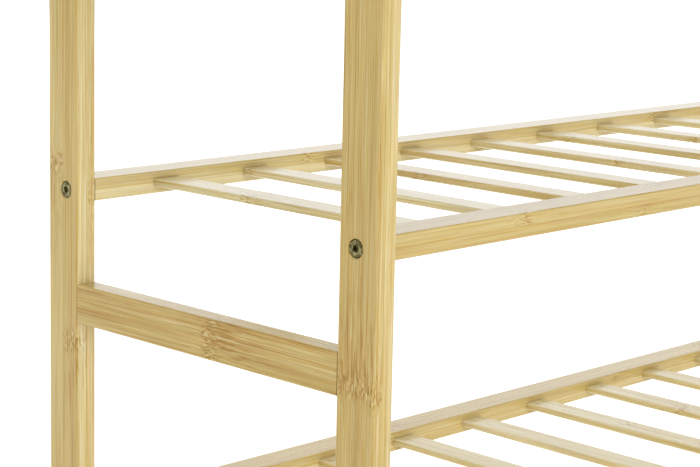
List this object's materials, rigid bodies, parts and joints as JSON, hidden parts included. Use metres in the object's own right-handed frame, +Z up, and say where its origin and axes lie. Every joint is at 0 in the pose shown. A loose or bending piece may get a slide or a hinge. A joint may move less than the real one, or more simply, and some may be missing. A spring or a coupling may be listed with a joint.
{
  "type": "entryway bench",
  "caption": "Slatted bamboo entryway bench: flat end posts joined by stretchers, two open slatted shoe shelves bolted between them and a slatted seat on aprons.",
  "frame": {"origin": "on the floor, under the middle of the bench, at the underside of the foot pads", "axes": "+X along the bench, to the right seen from the front; +Y to the back; +Z up"},
  "size_m": [0.8, 0.3, 0.5],
  "materials": {
    "post_bamboo": "edge-glued bamboo strips under a clear semi-gloss lacquer",
    "rail_bamboo": "edge-glued bamboo strips under a clear semi-gloss lacquer",
    "slat_bamboo": "solid bamboo strip, paler, under a clear semi-gloss lacquer",
    "zinc_steel": "dull zinc-plated steel",
    "dowel_wood": "plain beech, unfinished",
    "foot_pad": "grey-brown felt"
  },
  "bodies": {
    "root": {"left_front_post": "post_bamboo", "left_rear_post": "post_bamboo", "right_front_post": "post_bamboo", "right_rear_post": "post_bamboo", "left_top_stretcher": "post_bamboo", "left_mid_stretcher": "post_bamboo", "right_top_stretcher": "post_bamboo", "right_mid_stretcher": "post_bamboo", "upper_front_rail": "rail_bamboo", "upper_rear_rail": "rail_bamboo", "lower_front_rail": "rail_bamboo", "lower_rear_rail": "rail_bamboo", "upper_slat_1": "slat_bamboo", "upper_slat_2": "slat_bamboo", "upper_slat_3": "slat_bamboo", "upper_slat_4": "slat_bamboo", "upper_slat_5": "slat_bamboo", "upper_slat_6": "slat_bamboo", "upper_slat_7": "slat_bamboo", "upper_slat_8": "slat_bamboo", "upper_slat_9": "slat_bamboo", "lower_slat_1": "slat_bamboo", "lower_slat_2": "slat_bamboo", "lower_slat_3": "slat_bamboo", "lower_slat_4": "slat_bamboo", "lower_slat_5": "slat_bamboo", "lower_slat_6": "slat_bamboo", "lower_slat_7": "slat_bamboo", "lower_slat_8": "slat_bamboo", "lower_slat_9": "slat_bamboo", "seat_front_rail": "rail_bamboo", "seat_rear_rail": "rail_bamboo", "seat_left_end_rail": "rail_bamboo", "seat_right_end_rail": "rail_bamboo", "seat_slat_1": "slat_bamboo", "seat_slat_2": "slat_bamboo", "seat_slat_3": "slat_bamboo", "seat_slat_4": "slat_bamboo", "seat_slat_5": "slat_bamboo", "seat_slat_6": "slat_bamboo", "seat_slat_7": "slat_bamboo", "seat_slat_8": "slat_bamboo", "seat_slat_9": "slat_bamboo", "seat_slat_10": "slat_bamboo", "seat_slat_11": "slat_bamboo", "seat_front_apron": "rail_bamboo", "seat_rear_apron": "rail_bamboo", "connector_bolts": "zinc_steel", "barrel_nuts": "zinc_steel", "apron_dowels": "dowel_wood", "seat_bolts": "zinc_steel", "seat_insert_nuts": "zinc_steel", "foot_pads": "foot_pad"}
  },
  "joints": []
}
